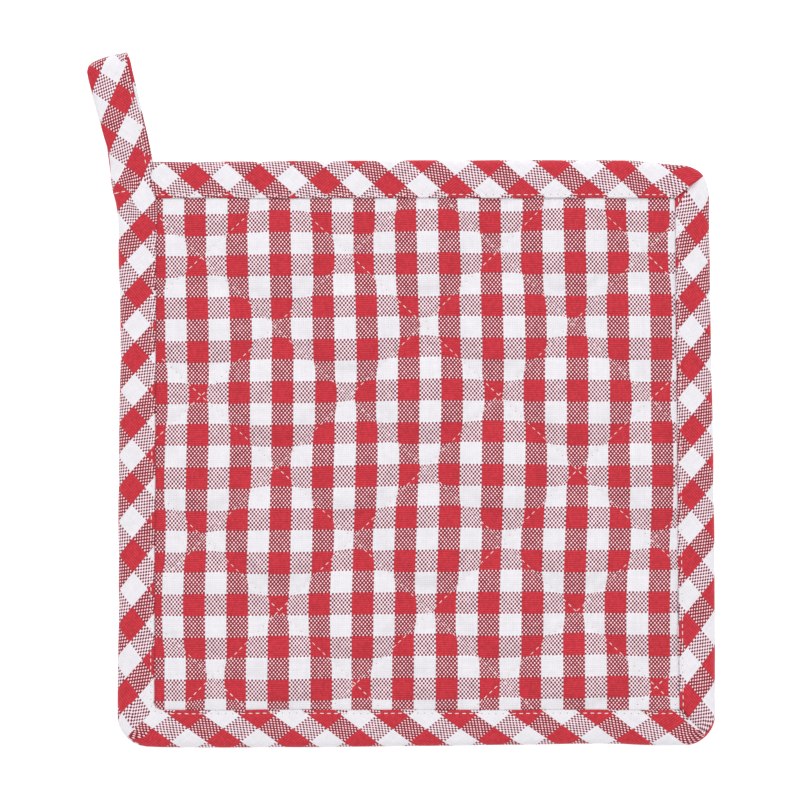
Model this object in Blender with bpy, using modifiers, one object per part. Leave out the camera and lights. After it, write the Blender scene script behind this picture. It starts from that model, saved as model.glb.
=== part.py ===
"""Quilted square pot holder with a bias-cut edge binding and a hanging loop at its top left corner.

It lies face up on the XY plane. The origin is the middle of the pad's underside, +Z is its face and +Y points
to the edge that carries the loop. Lengths below are in millimetres, and grid_of() turns them into metres.
"""

import math

import bmesh
import bpy

MM = 0.001
COLLECTION = "pot_holder"

# The square as sewn: where its sides would cross, the radius of each turned corner, and the ridge that the
# binding's mitre stands up there.
CORNERS = {
    # name: (x, y, radius, mitre_ridge)
    "top_right": (99.6, 98.9, 12.0, 0.5),
    "top_left": (-99.8, 98.9, 9.5, 0.0),
    "bottom_left": (-100.9, -98.5, 10.5, 0.0),
    "bottom_right": (101.4, -98.5, 11.5, 0.4),
}
RING_ORDER = ("top_right", "top_left", "bottom_left", "bottom_right")

# Binding: a strip folded over the edge, front and back alike.
BINDING_REACH = 12.4
BINDING_THICK = 1.0
EDGE_HEIGHT = 5.1
MITRE_RADIUS = 0.6
SIDE_STEPS = 14
CORNER_STEPS = 6
FOLD_STEPS = 6
SIDE_WAVE = 0.3
SIDE_WAVES = 2.5
GAP = 0.3

# Pad: edge held inside the binding, quilted face with a crown between the sewn channels, flat underside.
PAD_EDGE_INSETS = (2.6, 7.5, 12.9)
PAD_EDGE_LOW = BINDING_THICK + GAP
PAD_EDGE_HIGH = EDGE_HEIGHT - BINDING_THICK - GAP
PAD_RISE = 9.0
CHANNEL_HEIGHT = 4.4
PUFF_HEIGHT = 2.5
PUFF_FULLNESS = 0.6
CROWN = 0.3

# Quilting: two families of sewn lines. A crossing lies every second half diamond along both axes from the
# first one. A line's number is where it would run if the quilting were even, in half diamonds, and its two
# offsets say where it does run at its upper and its lower end.
HALF_DIAMOND = (25.5, 24.0)
FIRST_CROSSING = (-72.7, 66.4)
CELLS_PER_HALF = 5
FALLING_LINES = {
    # number: (upper, lower)
    -6: (-5.74, -5.73),
    -4: (-3.78, -3.94),
    -2: (-1.92, -1.94),
    0: (0.02, 0.0),
    2: (2.02, 1.99),
    4: (4.05, 3.85),
    6: (5.97, 5.80),
}
RISING_LINES = {
    # number: (upper, lower)
    0: (0.04, -0.20),
    2: (1.94, 1.97),
    4: (3.81, 4.08),
    6: (5.76, 6.05),
    8: (7.88, 8.04),
    10: (9.94, 9.94),
    12: (12.05, 12.05),
}
PANEL_COLUMNS = (-2, 31)
PANEL_ROWS = (-31, 3)

# Hanging loop: the strip runs up past the corner, leans to the left, turns over and comes back behind it.
LOOP_WIDTH = 14.3
LOOP_ROOT_WIDTH = 13.9
LOOP_THICK = 1.2
LOOP_START = (-93.5, 80.0)
LOOP_TURN = math.radians(15.4)
LOOP_TURN_LENGTH = 22.0
LOOP_REACH = 51.0
LOOP_FRONT_ROOT = 5.0
LOOP_BACK_ROOT = 8.5
LOOP_FRONT_HEIGHT = EDGE_HEIGHT + GAP + LOOP_THICK / 2
LOOP_BACK_HEIGHT = LOOP_THICK / 2
LOOP_RISE = 0.4
LOOP_BACK_SHIFT = 0.3
LOOP_LEG_STEPS = 14
LOOP_WIDTH_STEPS = 2

# The loop's back leg lies under the corner, which stands up by its thickness and settles again around it.
CORNER_LIFT = LOOP_THICK + GAP
LIFT_FULL = (-87.2, 85.0)
LIFT_FADE = 13.0


def between(start, end, share):
    return start + (end - start) * share


def smooth(share):
    share = min(max(share, 0.0), 1.0)
    return share * share * (3.0 - 2.0 * share)


def left_edge(y):
    low, high = CORNERS["bottom_left"], CORNERS["top_left"]
    return between(low[0], high[0], (y - low[1]) / (high[1] - low[1]))


def right_edge(y):
    low, high = CORNERS["bottom_right"], CORNERS["top_right"]
    return between(low[0], high[0], (y - low[1]) / (high[1] - low[1]))


def top_edge():
    return CORNERS["top_left"][1]


def bottom_edge():
    return CORNERS["bottom_left"][1]


def inset_of(x, y):
    """How far a point lies inside the nearest side."""
    return min(x - left_edge(y), right_edge(y) - x, top_edge() - y, y - bottom_edge())


def lift(x, y):
    """How far the underside stands up over the loop's back leg."""
    across = smooth(1.0 - (x - LIFT_FULL[0]) / LIFT_FADE)
    along = smooth(1.0 - (LIFT_FULL[1] - y) / LIFT_FADE)
    return CORNER_LIFT * across * along


# ---- sheets ------------------------------------------------------------------------------------------------


def collection():
    found = bpy.data.collections.get(COLLECTION)
    if found is None:
        found = bpy.data.collections.new(COLLECTION)
        bpy.context.scene.collection.children.link(found)
    return found


def cloth(name, colour):
    material = bpy.data.materials.new(name)
    material.use_nodes = True
    shader = material.node_tree.nodes["Principled BSDF"]
    shader.inputs["Base Color"].default_value = (*colour, 1.0)
    shader.inputs["Roughness"].default_value = 0.9
    shader.inputs["Metallic"].default_value = 0.0
    return material


def grid_of(columns, rows, place):
    """A grid of cells whose corner (column, row) is put where place() says, and its corners by that pair."""
    bm = bmesh.new()
    bmesh.ops.create_grid(bm, x_segments=columns, y_segments=rows, size=1.0)
    corners = {}
    for vert in bm.verts:
        column = round((vert.co.x + 1.0) / 2.0 * columns)
        row = round((vert.co.y + 1.0) / 2.0 * rows)
        vert.co = [length * MM for length in place(column, row)]
        corners[column, row] = vert
    return bm, corners


def finish(name, bm, material):
    bmesh.ops.recalc_face_normals(bm, faces=bm.faces)
    mesh = bpy.data.meshes.new(name)
    bm.to_mesh(mesh)
    bm.free()
    mesh.shade_smooth()
    mesh.materials.append(material)
    piece = bpy.data.objects.new(name, mesh)
    collection().objects.link(piece)
    return piece


def thicken(piece, thickness):
    modifier = piece.modifiers.new("cloth thickness", "SOLIDIFY")
    modifier.thickness = thickness * MM
    modifier.offset = 0.0
    modifier.use_even_offset = True


# ---- quilted pad -------------------------------------------------------------------------------------------


def sewn(number, lines, share):
    """Where a line of this number runs, from its upper end (share 0) to its lower end (share 1)."""
    low = min(max(2 * math.floor(number / 2.0), min(lines)), max(lines) - 2)
    below = between(*lines[low], share)
    above = between(*lines[low + 2], share)
    return between(below, above, (number - low) / 2.0)


def panel_point(across, down):
    """The place of a quilted point, counted in half diamonds right and down from the first crossing."""
    share = (down + 0.8) / 7.0
    rising = sewn(across + down, RISING_LINES, share)
    falling = sewn(across - down, FALLING_LINES, share)
    x = FIRST_CROSSING[0] + HALF_DIAMOND[0] * (rising + falling) / 2.0
    y = FIRST_CROSSING[1] - HALF_DIAMOND[1] * (rising - falling) / 2.0
    return x, y


def puff(number):
    """0 on a sewn line and 1 half way between two."""
    return abs(math.sin(math.pi * number / 2.0)) ** PUFF_FULLNESS


def face_height(x, y, across, down):
    inset = inset_of(x, y)
    rise = smooth((inset - PAD_EDGE_INSETS[-1]) / PAD_RISE)
    crown = CROWN * smooth(inset / top_edge())
    channel = between(PAD_EDGE_HIGH, CHANNEL_HEIGHT + crown, rise)
    return channel + PUFF_HEIGHT * rise * puff(across + down) * puff(across - down)


def underside(x, y):
    under_binding = inset_of(x, y) <= PAD_EDGE_INSETS[-1] + GAP
    return lift(x, y) + (PAD_EDGE_LOW if under_binding else 0.0)


def rounded(x, y):
    """Moves a point of the square corner into the round one, edge onto edge."""
    for corner_x, corner_y, radius, _ in CORNERS.values():
        side_x, side_y = math.copysign(1, corner_x), math.copysign(1, corner_y)
        out_x = (x - corner_x) * side_x + radius
        out_y = (y - corner_y) * side_y + radius
        if out_x > 0 and out_y > 0:
            pull = max(out_x, out_y) / math.hypot(out_x, out_y)
            x = corner_x + side_x * (out_x * pull - radius)
            y = corner_y + side_y * (out_y * pull - radius)
    return x, y


def pad_stations(first, last, insets):
    """(kind, value) of each grid line: held edge, quilted lines by number, and the other held edge."""
    panel = [("panel", number / CELLS_PER_HALF) for number in range(first, last + 1)]
    low = [("low", inset) for inset in insets]
    high = [("high", inset) for inset in reversed(insets)]
    return low + panel + high


def pad_point(column, row):
    """(x, y, across, down) of a grid corner."""
    across = column[1] if column[0] == "panel" else 0.0
    down = -row[1] if row[0] == "panel" else 0.0
    if column[0] != "panel":
        middle = (PANEL_COLUMNS[0] if column[0] == "low" else PANEL_COLUMNS[1]) / CELLS_PER_HALF
        y = panel_point(middle, down)[1] if row[0] == "panel" else 0.0
    if row[0] != "panel":
        middle = -(PANEL_ROWS[0] if row[0] == "low" else PANEL_ROWS[1]) / CELLS_PER_HALF
        x = panel_point(across, middle)[0] if column[0] == "panel" else 0.0
        y = bottom_edge() + row[1] if row[0] == "low" else top_edge() - row[1]
    if column[0] != "panel":
        x = left_edge(y) + column[1] if column[0] == "low" else right_edge(y) - column[1]
    if column[0] == row[0] == "panel":
        x, y = panel_point(across, down)
    return (*rounded(x, y), across, down)


def is_sewn(column, row):
    """Whether a grid corner lies on a sewn line."""
    if not column[0] == row[0] == "panel":
        return False
    numbers = (column[1] - row[1], column[1] + row[1])
    return any(abs(number / 2.0 - round(number / 2.0)) < 0.01 for number in numbers)


def quilted_pad(material):
    columns = pad_stations(*PANEL_COLUMNS, PAD_EDGE_INSETS)
    rows = pad_stations(*PANEL_ROWS, PAD_EDGE_INSETS)

    def place(i, j):
        x, y, across, down = pad_point(columns[i], rows[j])
        return x, y, face_height(x, y, across, down)

    bm, corners = grid_of(len(columns) - 1, len(rows) - 1, place)
    channels = [vert for (i, j), vert in corners.items() if is_sewn(columns[i], rows[j])]
    bmesh.ops.connect_verts(bm, verts=channels)
    bmesh.ops.recalc_face_normals(bm, faces=bm.faces)
    extruded = bmesh.ops.extrude_face_region(bm, geom=bm.faces[:])["geom"]
    for vert in (item for item in extruded if isinstance(item, bmesh.types.BMVert)):
        vert.co.z = underside(vert.co.x / MM, vert.co.y / MM) * MM
    flat = [face for face in bm.faces if all(abs(vert.co.z) < 1e-7 for vert in face.verts)]
    bmesh.ops.dissolve_faces(bm, faces=flat, use_verts=True)
    return finish("quilted_pad", bm, material)


# ---- edge binding ------------------------------------------------------------------------------------------


def outline(inset):
    """Points (x, y, corner share) round the square at this inset, anticlockwise from the right-hand side.

    The corner share is 1 on a corner's mitre and 0 off it.
    """
    arcs = []
    for turn, name in enumerate(RING_ORDER):
        corner_x, corner_y, full, _ = CORNERS[name]
        radius = max(full - inset, MITRE_RADIUS)
        centre_x = corner_x - math.copysign(inset + radius, corner_x)
        centre_y = corner_y - math.copysign(inset + radius, corner_y)
        arc = []
        for step in range(CORNER_STEPS + 1):
            angle = math.pi / 2 * (turn + step / CORNER_STEPS)
            arc.append((centre_x + radius * math.cos(angle), centre_y + radius * math.sin(angle)))
        arcs.append(arc)
    ring = []
    for turn, name in enumerate(RING_ORDER):
        for step, point in enumerate(arcs[turn]):
            ring.append((*point, name, 1.0 - abs(2.0 * step / CORNER_STEPS - 1.0)))
        start, end = arcs[turn][-1], arcs[(turn + 1) % 4][0]
        out_angle = math.pi / 2 * (turn + 1)
        for step in range(1, SIDE_STEPS):
            share = step / SIDE_STEPS
            wave = SIDE_WAVE * math.sin(math.pi * share) * math.sin(2 * math.pi * SIDE_WAVES * share + turn)
            x = between(start[0], end[0], share) + wave * math.cos(out_angle)
            y = between(start[1], end[1], share) + wave * math.sin(out_angle)
            ring.append((x, y, name, 0.0))
    return ring


def binding_section():
    """(inset, height share) of the folded strip's middle, from its back edge round to its front edge."""
    half = BINDING_THICK / 2
    radius = EDGE_HEIGHT / 2 - half
    back = [(BINDING_REACH, 0.0), (BINDING_REACH * 0.6, 0.0)]
    fold = []
    for step in range(FOLD_STEPS + 1):
        angle = math.pi * step / FOLD_STEPS
        fold.append((half + radius * (1.0 - math.sin(angle)), (1.0 - math.cos(angle)) / 2.0))
    front = [(inset, 1.0) for inset, _ in reversed(back)]
    return back + fold + front


def edge_binding(material):
    section = binding_section()
    rings = [outline(inset) for inset, _ in section]
    count = len(rings[0])
    half = BINDING_THICK / 2

    def place(i, j):
        x, y, name, mitre = rings[j][i % count]
        inset, share = section[j]
        low = half + lift(x, y)
        high = EDGE_HEIGHT - half
        ridge = CORNERS[name][3] * max(mitre * 3.0 - 2.0, 0.0) if inset > EDGE_HEIGHT / 2 else 0.0
        return x, y, between(low, high, share) + ridge * share

    bm, _ = grid_of(count, len(section) - 1, place)
    bmesh.ops.remove_doubles(bm, verts=bm.verts, dist=1e-6)
    piece = finish("edge_binding", bm, material)
    thicken(piece, BINDING_THICK)
    return piece


# ---- hanging loop ------------------------------------------------------------------------------------------


def loop_plan(along):
    """(x, y, lean) of the loop's middle line seen from above, this far along from its start."""
    radius = LOOP_TURN_LENGTH / LOOP_TURN
    lean = min(along / LOOP_TURN_LENGTH, 1.0) * LOOP_TURN
    straight = max(along - LOOP_TURN_LENGTH, 0.0)
    x = LOOP_START[0] - radius * (1.0 - math.cos(lean)) - straight * math.sin(lean)
    y = LOOP_START[1] + radius * math.sin(lean) + straight * math.cos(lean)
    return x, y, lean


def loop_path():
    """(along, height, sideways shift) from the front leg's root, over the turned end, to the back leg's root."""
    front = []
    for step in range(LOOP_LEG_STEPS + 1):
        along = between(LOOP_FRONT_ROOT, LOOP_REACH, step / LOOP_LEG_STEPS)
        clear = smooth((along - LOOP_TURN_LENGTH) / (LOOP_REACH - LOOP_TURN_LENGTH))
        front.append((along, LOOP_FRONT_HEIGHT + LOOP_RISE * clear, 0.0))
    radius = (front[-1][1] - LOOP_BACK_HEIGHT) / 2
    fold = []
    for step in range(1, FOLD_STEPS):
        angle = math.pi * step / FOLD_STEPS
        height = LOOP_BACK_HEIGHT + radius * (1.0 + math.cos(angle))
        fold.append((LOOP_REACH + radius * math.sin(angle), height, LOOP_BACK_SHIFT * step / FOLD_STEPS))
    back = []
    for step in range(LOOP_LEG_STEPS + 1):
        along = between(LOOP_REACH, LOOP_BACK_ROOT, step / LOOP_LEG_STEPS)
        shift = LOOP_BACK_SHIFT * smooth((along - LOOP_BACK_ROOT) / (LOOP_TURN_LENGTH - LOOP_BACK_ROOT))
        back.append((along, LOOP_BACK_HEIGHT, shift))
    return front + fold + back


def hanging_loop(material):
    path = loop_path()

    def place(i, j):
        along, height, shift = path[i]
        x, y, lean = loop_plan(along)
        root = 1.0 - smooth((along - LOOP_FRONT_ROOT) / LOOP_TURN_LENGTH)
        is_front = height > EDGE_HEIGHT
        width = between(LOOP_WIDTH, LOOP_ROOT_WIDTH, root if is_front else 0.0)
        across = shift + width * (j / LOOP_WIDTH_STEPS - 0.5)
        return x + across * math.cos(lean), y + across * math.sin(lean), height

    bm, _ = grid_of(len(path) - 1, LOOP_WIDTH_STEPS, place)
    piece = finish("hanging_loop", bm, material)
    thicken(piece, LOOP_THICK)
    return piece


def main():
    for leftover in list(bpy.data.objects):
        bpy.data.objects.remove(leftover, do_unlink=True)
    quilted_pad(cloth("checked cotton panel", (0.62, 0.25, 0.27)))
    edge_binding(cloth("bias cut binding", (0.55, 0.20, 0.23)))
    hanging_loop(cloth("bias cut loop", (0.50, 0.17, 0.20)))


main()
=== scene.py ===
"""Looks of the quilted pot holder.

A gingham pad, a bias-cut binding that runs on into a hanging loop, and the white thread that sews them.
Lengths are in millimetres in the part's frame, and MM turns them into metres.
"""

import math

import bmesh
import bpy
from mathutils import Matrix, Vector, noise
from mathutils.bvhtree import BVHTree


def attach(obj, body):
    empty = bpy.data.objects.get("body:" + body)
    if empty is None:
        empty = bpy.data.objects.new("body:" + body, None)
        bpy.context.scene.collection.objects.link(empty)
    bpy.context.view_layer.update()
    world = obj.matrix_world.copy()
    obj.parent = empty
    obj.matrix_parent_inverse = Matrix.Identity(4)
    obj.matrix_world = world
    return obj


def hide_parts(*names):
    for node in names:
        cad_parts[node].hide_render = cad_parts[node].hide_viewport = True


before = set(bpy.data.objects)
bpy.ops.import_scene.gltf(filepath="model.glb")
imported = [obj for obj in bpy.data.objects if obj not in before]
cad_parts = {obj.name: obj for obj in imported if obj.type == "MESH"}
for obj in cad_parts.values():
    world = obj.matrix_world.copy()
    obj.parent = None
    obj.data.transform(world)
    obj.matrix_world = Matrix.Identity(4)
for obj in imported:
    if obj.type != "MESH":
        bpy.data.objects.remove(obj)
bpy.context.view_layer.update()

MM = 0.001

# ---- the pot holder's sizes ----

CORNERS = {
    # name: (x, y, radius)
    "top_right": (99.6, 98.9, 12.0),
    "top_left": (-99.8, 98.9, 9.5),
    "bottom_left": (-100.9, -98.5, 10.5),
    "bottom_right": (101.4, -98.5, 11.5),
}
EDGE_HEIGHT = 5.1
REACH = 12.4  # of the finished binding over the pad
INNER_RADIUS = {"top_right": 0.6, "top_left": 0.6, "bottom_left": 3.2, "bottom_right": 0.6}
CORNER_LIFT = 1.5  # the top left corner stands up on the loop's back leg
LIFT_FULL = (-87.2, 85.0)
LIFT_FADE = 13.0

# How far each outer edge lies outside its straight line.
EDGE_WANDER = {
    # side: ((x or y along the side, clockwise, outward), ...)
    "top": ((-96, -0.3), (-70, -0.3), (-40, 0.0), (0, 0.2), (60, 0.3), (74, 0.1), (82, -0.8),
            (88, -1.4), (94, -0.8), (98, -0.2)),
    "right": ((-96, -0.2), (-90, -0.9), (-86, -1.1), (-72, -1.0), (-40, -0.8), (-16, -0.65), (0, -0.4),
              (40, -0.3), (64, -0.35), (84, -0.6), (96, -0.4)),
    "bottom": ((-100, -0.4), (-84, -0.5), (-70, -1.0), (-50, -1.0), (-30, -0.7), (0, -0.3), (24, 0.0),
               (64, 0.15), (84, 0.1), (96, -0.3)),
    "left": ((-96, -0.4), (-80, -0.35), (-48, -0.55), (-20, -0.2), (0, -0.35), (30, -0.6), (44, -0.6),
             (64, 0.1), (80, 0.3)),
}
WANDER_DEPTH = 11.0
OUTWARD = {"top": (0.0, 1.0), "right": (1.0, 0.0), "bottom": (0.0, -1.0), "left": (-1.0, 0.0)}

# Quilting: lines by number, counted in half diamonds, with where each really runs at its two ends.
HALF_DIAMOND = (25.5, 24.0)
FIRST_CROSSING = (-72.7, 66.4)
FALLING_LINES = {
    # number: (upper, lower)
    -6: (-5.74, -5.73), -4: (-3.78, -3.94), -2: (-1.92, -1.94), 0: (0.02, 0.0),
    2: (2.02, 1.99), 4: (4.05, 3.85), 6: (5.97, 5.80),
}
RISING_LINES = {
    # number: (upper, lower)
    0: (0.04, -0.20), 2: (1.94, 1.97), 4: (3.81, 4.08), 6: (5.76, 6.05),
    8: (7.88, 8.04), 10: (9.94, 9.94), 12: (12.05, 12.05),
}

# Pad
CELLS_PER_HALF = 12
PANEL_COLUMNS = (-5, 76)  # first and last grid line, counted in cells from the first crossing
PANEL_ROWS = (-75, 9)
PAD_INSETS = (2.6, 5.0, 7.5, 10.0, 11.8, 13.2)
PAD_EDGE_LOW = 1.3
PAD_EDGE_HIGH = 4.4
PAD_RISE = 6.0
CHANNEL_HEIGHT = 4.5
PUFF_HEIGHT = 1.5
PUFF_FULLNESS = 0.62
CROWN = 0.2
LINE_SHARPNESS = 0.6
BACK_CHANNEL = 0.8
BACK_FLATNESS = 2.2
BACK_EASE = 4.0

# Gingham: one repeat is a red and a white stripe. The stripes drift a little where quilting draws them in.
REPEAT = (14.18, 14.28)
WARP_THREADS = 24
WEFT_THREADS = 20
RED_STRIPE = (-74.35, 77.25)
DRIFT_PLACES = (-78.0, 1.0, 80.0)
COLUMN_DRIFT = (
    # y, sideways drift of the columns at each x of DRIFT_PLACES
    (-78.6, -0.2, -0.75, 0.45),
    (-64.4, -0.1, -0.65, 0.25),
    (-50.2, -0.4, -0.5, 0.2),
    (-36.0, 0.0, -0.15, 0.6),
    (-21.8, 0.3, 0.3, 1.15),
    (-7.6, 0.55, 0.75, 1.4),
    (6.6, 0.85, 1.0, 1.2),
    (20.8, 0.85, 1.15, 1.1),
    (35.0, 0.9, 1.15, 1.0),
    (49.2, 0.65, 0.8, 0.75),
    (63.4, 0.25, 0.42, 0.32),
    (77.6, 0.0, 0.05, 0.1),
)
ROW_DRIFT = (
    # x, upward drift of the rows at each y of DRIFT_PLACES
    (-76.4, 0.5, 0.5, 0.25),
    (-62.2, 0.6, 0.65, 0.6),
    (-48.0, 0.4, 0.85, 1.1),
    (-33.8, 0.7, 0.95, 1.05),
    (-19.6, 0.9, 1.3, 1.1),
    (-5.4, 0.9, 1.7, 1.3),
    (8.8, 1.1, 1.9, 1.55),
    (23.0, 1.0, 1.75, 1.3),
    (37.2, 1.2, 1.6, 1.5),
    (51.4, 1.4, 1.2, 1.9),
    (65.6, 1.7, 1.1, 1.9),
    (79.8, 1.6, 1.3, 1.6),
)
PINCH = 0.028
PINCH_WIDTH = 0.05
WOBBLE = (0.12, 11.0)  # how far, and over what length

# Bias strip: how many repeats of the warp stripes and of the weft stripes have passed along each side,
# counted clockwise at PATTERN_INSET from its outer edge, and how they change across it.
PATTERN_INSET = 6.0
STRIP_PATTERN = {
    # side: (across period, skew, ((place along the side, warp repeats, weft repeats), ...))
    "top": (19.1, 0.05, (
        (-76, -0.120, -0.034), (-60, 0.637, 0.692), (-44, 1.389, 1.388), (-28, 2.177, 2.061),
        (-12, 2.963, 2.768), (4, 3.736, 3.442), (20, 4.499, 4.085), (36, 5.243, 4.785),
        (52, 5.978, 5.483), (68, 6.728, 6.147), (80, 7.355, 6.676), (92, 7.899, 7.054))),
    "right": (18.9, 0.035, (
        (-93, -0.73, -1.50), (-84, -0.461, -1.208),
        (-76, -0.064, -0.910), (-60, 0.730, -0.314), (-44, 1.476, 0.325), (-28, 2.175, 1.011),
        (-12, 2.892, 1.765), (4, 3.643, 2.490), (20, 4.410, 3.193), (36, 5.178, 3.853),
        (52, 5.912, 4.513), (68, 6.579, 5.189))),
    "bottom": (17.6, 0.055, (
        (-76, -0.386, -0.862), (-60, 0.364, -0.286), (-44, 1.061, 0.398), (-28, 1.722, 1.125),
        (-12, 2.376, 1.876), (4, 3.076, 2.578), (20, 3.798, 3.293), (36, 4.522, 4.009),
        (52, 5.211, 4.687), (68, 5.887, 5.362))),
    "left": (19.3, 0.03, (
        (-76, 8.061, 7.374), (-60, 8.802, 7.958), (-44, 9.524, 8.589), (-28, 10.201, 9.305),
        (-12, 10.879, 10.053), (4, 11.611, 10.769), (20, 12.374, 11.468), (36, 13.125, 12.183),
        (52, 13.905, 12.868), (68, 14.692, 13.521))),
    "tape": (18.6, 0.05, (
        (6, 16.631, 15.323), (12, 16.908, 15.600), (18, 17.180, 15.878))),
}
TAPE_FOOT = (-103.09, 100.56)
TAPE_LEAN = 14.6
EASED_CORNER = 22.0
GATHER = (86.5, 6.0, 0.17)  # y, spread and repeats of the cloth gathered at the loop's foot
CLOTH_THICK = 0.26
HEM_DROP = 0.35
HEM_WIDTH = 5.6
SHOULDER = 2.3
FRONT_SHARES = (0.3, 0.42, 0.54, 0.66, 0.76, 0.84)
NEAR_HEM = (1.45, 0.95, 0.4)
SEAM_DIP, SEAM_WIDTH = 0.2, 0.6
FULLNESS = 0.12
UNEVEN = ((0.12, 6.0, 2.0), (0.14, 17.0, 3.0))  # height, length, seed
EDGE_UNEVEN = (0.25, 24.0)
SIDE_STEPS = 148

# How far the lapping side stands above the other where two sides meet: over 0 the first side laps.
LAPS = {"top_right": 0.85, "bottom_right": -0.7, "bottom_left": 0.0}
LAP_DIP = 0.8
LAP_START, LAP_RUN = 1.0, 3.0
TURN_STEPS = 12
FOLD_STEPS = {"top_right": 7, "bottom_right": 6, "bottom_left": 6}
FOLD_WIDTH = 0.01
FOLD_REACH = 0.35
STRIP_START = -96.5
LEFT_STRIP_END = 79.0
LEFT_STRIP_HEM = -87.0
BACK_OF_STRIP = 84.0

# Hanging loop: where it opens, how far its front layer stops short, and how its end is shaped.
SHUT_BELOW = 106.0
OPEN_OVER = 8.0
FRONT_SHORT = 1.0
END_ROUNDING = 1.3
END_PINCH = 0.5
END_NARROWS = (0.7, 0.4)
END_HALF = 0.5
LEG_STEPS = (46, 36)
TURNED_STEPS = 12

# The strip past the corner and round the loop, seen from above: its left and right edges, and the heights
# of its back and front layers.
FRONT_LEG = (
    # left x, left y, right x, right y, back, front
    (-100.3, 80.0, -87.3, 80.0, 1.13, 4.90),
    (-101.1, 85.0, -87.7, 85.6, 1.45, 5.35),
    (-102.2, 89.0, -89.0, 89.8, 1.63, 5.50),
    (-102.8, 92.5, -89.5, 93.6, 1.68, 5.60),
    (-102.9, 97.0, -89.0, 98.8, 1.70, 5.70),
    (-103.5, 102.0, -90.0, 105.1, 4.20, 6.20),
    (-105.0, 107.0, -91.2, 110.4, 5.45, 6.50),
    (-107.7, 117.0, -93.6, 120.6, 5.78, 6.80),
    (-110.0, 125.5, -95.6, 129.2, 5.80, 6.80),
    (-110.7, 128.8, -96.3, 132.6, 5.75, 6.75),
)
BACK_LEG = (
    # left x, left y, right x, right y, back, front
    (-110.5, 128.8, -96.6, 132.5, 0.13, 1.13),
    (-108.9, 122.5, -95.2, 126.1, 0.13, 1.13),
    (-106.4, 113.0, -92.9, 116.5, 0.13, 1.13),
    (-104.2, 103.6, -90.8, 106.0, 0.13, 1.13),
    (-103.0, 95.2, -89.6, 96.3, 0.13, 1.13),
    (-102.2, 88.5, -88.8, 88.7, 0.13, 1.13),
)

# Sewing thread
STITCH_LENGTH = 2.05
STITCH_PITCH = 2.4
STITCH_WIDTH = 0.37
HOLE_WIDTH = 0.36
EDGE_STITCH_INSET = 11.3
TAPE_STITCH_INSET = 2.2
LINE_STEP = 0.0125  # in half diamonds
LINE_STEPS = (-60, 700)
QUILTING_GAP = 0.4  # from the binding to the first stitch
FEWEST_POINTS = 10
TACKS = ((-100.96, 88.1), (-98.6, 88.6), (-96.1, 89.0), (-93.7, 89.3))


def between(start, end, share):
    return start + (end - start) * share


def smooth(share):
    share = min(max(share, 0.0), 1.0)
    return share * share * (3.0 - 2.0 * share)


def read_table(rows, place, onward=True):
    """The values beside this place in a table, on straight runs from row to row and maybe past its ends."""
    index = 0
    while index < len(rows) - 2 and place > rows[index + 1][0]:
        index += 1
    low, high = rows[index], rows[index + 1]
    share = (place - low[0]) / (high[0] - low[0])
    if not onward:
        share = min(max(share, 0.0), 1.0)
    return [between(start, end, share) for start, end in zip(low[1:], high[1:])]


def left_edge(y):
    low, high = CORNERS["bottom_left"], CORNERS["top_left"]
    return between(low[0], high[0], (y - low[1]) / (high[1] - low[1]))


def right_edge(y):
    low, high = CORNERS["bottom_right"], CORNERS["top_right"]
    return between(low[0], high[0], (y - low[1]) / (high[1] - low[1]))


TOP_EDGE = CORNERS["top_left"][1]
BOTTOM_EDGE = CORNERS["bottom_left"][1]


def beside(side, x, y):
    """Distance along one side, clockwise, and inward from it."""
    return {"top": (x, TOP_EDGE - y), "right": (-y, right_edge(y) - x),
            "bottom": (-x, y - BOTTOM_EDGE), "left": (y, x - left_edge(y))}[side]


def inset_of(x, y):
    return min(beside(side, x, y)[1] for side in OUTWARD)


def wandered(x, y):
    """Moves a place near the outer edge along with that edge's wander."""
    moved_x, moved_y = x, y
    for side, (out_x, out_y) in OUTWARD.items():
        along, inset = beside(side, x, y)
        outward = read_table(EDGE_WANDER[side], along, onward=False)[0]
        outward *= smooth(1.0 - inset / WANDER_DEPTH)
        moved_x += out_x * outward
        moved_y += out_y * outward
    return moved_x, moved_y


def lift(x, y):
    """How far the corner stands up on the loop's back leg."""
    across = smooth(1.0 - (x - LIFT_FULL[0]) / LIFT_FADE)
    along = smooth(1.0 - (LIFT_FULL[1] - y) / LIFT_FADE)
    return CORNER_LIFT * across * along


def grain(x, y, size, seed=0.0):
    """Smooth unevenness between -1 and 1."""
    return noise.noise(Vector((x / size, y / size, seed)))


# ---- mesh helpers ----


def grid_of(columns, rows, place):
    """A grid of cells with corner (column, row) where place() says, and its corners by that pair."""
    bm = bmesh.new()
    bm.verts.layers.deform.verify()
    bm.verts.layers.float.new("back")
    bm.edges.layers.float.new("crease_edge")
    bm.loops.layers.uv.new("cloth")
    bm.loops.layers.uv.new("quilt")
    bmesh.ops.create_grid(bm, x_segments=columns, y_segments=rows, size=1.0)
    corners = {}
    for vert in bm.verts:
        column = round((vert.co.x + 1.0) / 2.0 * columns)
        row = round((vert.co.y + 1.0) / 2.0 * rows)
        vert.co = [length * MM for length in place(column, row)]
        corners[column, row] = vert
    return bm, corners


def object_of(name, bm):
    mesh = bpy.data.meshes.new(name)
    bm.to_mesh(mesh)
    bm.free()
    mesh.shade_smooth()
    piece = bpy.data.objects.new(name, mesh)
    bpy.context.scene.collection.objects.link(piece)
    return piece


def apply_modifiers(piece):
    bpy.ops.object.select_all(action="DESELECT")
    bpy.context.view_layer.objects.active = piece
    piece.select_set(True)
    for modifier in list(piece.modifiers):
        bpy.ops.object.modifier_apply(modifier=modifier.name)
    piece.select_set(False)


# ---- quilted pad ----


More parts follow.
